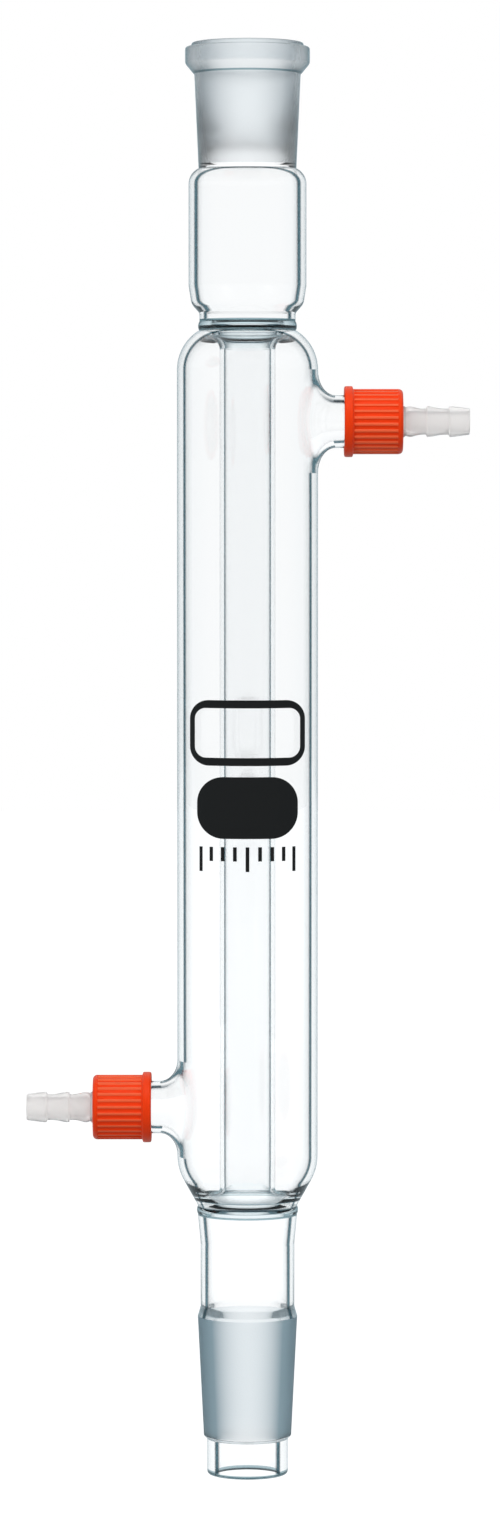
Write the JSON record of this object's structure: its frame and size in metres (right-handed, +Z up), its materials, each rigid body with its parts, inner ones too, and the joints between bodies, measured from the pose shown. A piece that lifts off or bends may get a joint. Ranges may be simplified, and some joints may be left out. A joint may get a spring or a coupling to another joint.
{
  "type": "straight condenser",
  "caption": "Straight water-jacketed glass condenser with a ground socket, a ground cone with drip tip, and screw-capped barbed hose nozzles on its side arms.",
  "frame": {"origin": "on the tube's axis, halfway between the seals of the jacket, where a stand's clamp holds it", "axes": "+Z up along the tube's axis towards the socket, +X out along the upper side arm, the print faces -Y"},
  "size_m": [0.1064, 0.0339, 0.3445],
  "materials": {
    "clear_glass": "clear borosilicate glass, ground matt on the cone and in the socket",
    "pale_silicone": "matt silicone",
    "translucent_plastic": "translucent moulded polypropylene",
    "orange_plastic": "satin moulded plastic",
    "black_enamel": "thin fired enamel"
  },
  "bodies": {
    "glass": {"glass_body": "clear_glass", "print_pad": "black_enamel", "print_frame": "black_enamel", "print_marks": "black_enamel"},
    "upper_hose_end": {"upper_nozzle": "translucent_plastic", "upper_gasket": "pale_silicone"},
    "upper_screw_cap": {"upper_cap": "orange_plastic"},
    "lower_hose_end": {"lower_nozzle": "translucent_plastic", "lower_gasket": "pale_silicone"},
    "lower_screw_cap": {"lower_cap": "orange_plastic"}
  },
  "joints": [
    {"name": "upper_hose_end_travel", "type": "slide", "parent": "glass", "child": "upper_hose_end", "axis": [1, 0, 0], "range_m": [0, 0.0075]},
    {"name": "upper_cap_turn", "type": "hinge", "parent": "upper_hose_end", "child": "upper_screw_cap", "pos_m": [0.03, 0, 0.0835], "axis": [1, 0, 0], "range_deg": [0, 1080]},
    {"name": "lower_hose_end_travel", "type": "slide", "parent": "glass", "child": "lower_hose_end", "axis": [-1, 0, 0], "range_m": [0, 0.0075]},
    {"name": "lower_cap_turn", "type": "hinge", "parent": "lower_hose_end", "child": "lower_screw_cap", "pos_m": [-0.03, 0, -0.0815], "axis": [-1, 0, 0], "range_deg": [0, 1080]}
  ],
  "couplings": [
    {"joint": "upper_cap_turn", "follows": "upper_hose_end_travel", "rad_per_m": 2513.3},
    {"joint": "lower_cap_turn", "follows": "lower_hose_end_travel", "rad_per_m": 2513.3}
  ]
}
